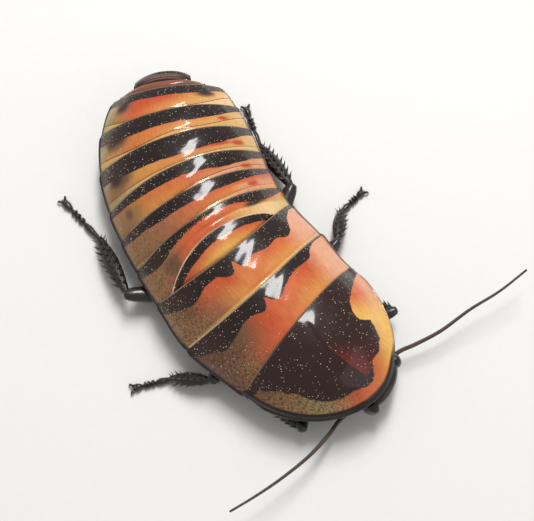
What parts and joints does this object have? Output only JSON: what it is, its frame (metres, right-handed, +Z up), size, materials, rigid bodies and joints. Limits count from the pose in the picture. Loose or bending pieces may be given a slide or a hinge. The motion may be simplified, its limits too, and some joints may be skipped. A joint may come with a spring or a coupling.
{
  "type": "madagascar hissing cockroach",
  "caption": "Life-size madagascar hissing cockroach, a still model standing with its body bent to one side, with banded back plates, spiny legs and long feelers.",
  "frame": {"origin": "on the floor, under the middle of the animal's outline box, feelers and feet included", "axes": "+Z up, head toward -Y, the animal's left toward +X; the body bends toward its left in the floor plane"},
  "size_m": [0.0586, 0.066, 0.012],
  "materials": {
    "pronotum_black": "polished dark shell",
    "plate_orange": "polished banded shell",
    "head_black": "polished dark shell",
    "eye": "finely faceted gloss",
    "soft_brown": "satin skin",
    "belly_brown": "satin shell",
    "limb_black": "satin dark shell"
  },
  "bodies": {
    "root": {"head": "head_black", "mandibles": "head_black", "eye_left": "eye", "eye_right": "eye", "labrum": "soft_brown", "labium": "soft_brown", "palp_left": "soft_brown", "palp_right": "soft_brown", "neck": "soft_brown", "antenna_base_left": "limb_black", "antenna_inner_left": "limb_black", "antenna_outer_left": "limb_black", "antenna_base_right": "limb_black", "antenna_inner_right": "limb_black", "antenna_outer_right": "limb_black", "pronotum": "pronotum_black", "mesonotum": "plate_orange", "metanotum": "plate_orange", "tergite_1": "plate_orange", "tergite_2": "plate_orange", "tergite_3": "plate_orange", "tergite_4": "plate_orange", "tergite_5": "plate_orange", "tergite_6": "plate_orange", "tergite_7": "plate_orange", "tail_plate": "pronotum_black", "thorax_underside": "belly_brown", "sternite_2": "belly_brown", "sternite_3": "belly_brown", "sternite_4": "belly_brown", "sternite_5": "belly_brown", "sternite_6": "belly_brown", "sternite_7": "belly_brown", "cercus_left": "limb_black", "cercus_right": "limb_black", "coxa_front_left": "limb_black", "femur_front_left": "limb_black", "tibia_front_left": "limb_black", "tarsus_front_left": "limb_black", "coxa_front_right": "limb_black", "femur_front_right": "limb_black", "tibia_front_right": "limb_black", "tarsus_front_right": "limb_black", "coxa_middle_left": "limb_black", "femur_middle_left": "limb_black", "tibia_middle_left": "limb_black", "tarsus_middle_left": "limb_black", "coxa_middle_right": "limb_black", "femur_middle_right": "limb_black", "tibia_middle_right": "limb_black", "tarsus_middle_right": "limb_black", "coxa_hind_left": "limb_black", "femur_hind_left": "limb_black", "tibia_hind_left": "limb_black", "tarsus_hind_left": "limb_black", "coxa_hind_right": "limb_black", "femur_hind_right": "limb_black", "tibia_hind_right": "limb_black", "tarsus_hind_right": "limb_black"}
  },
  "joints": []
}
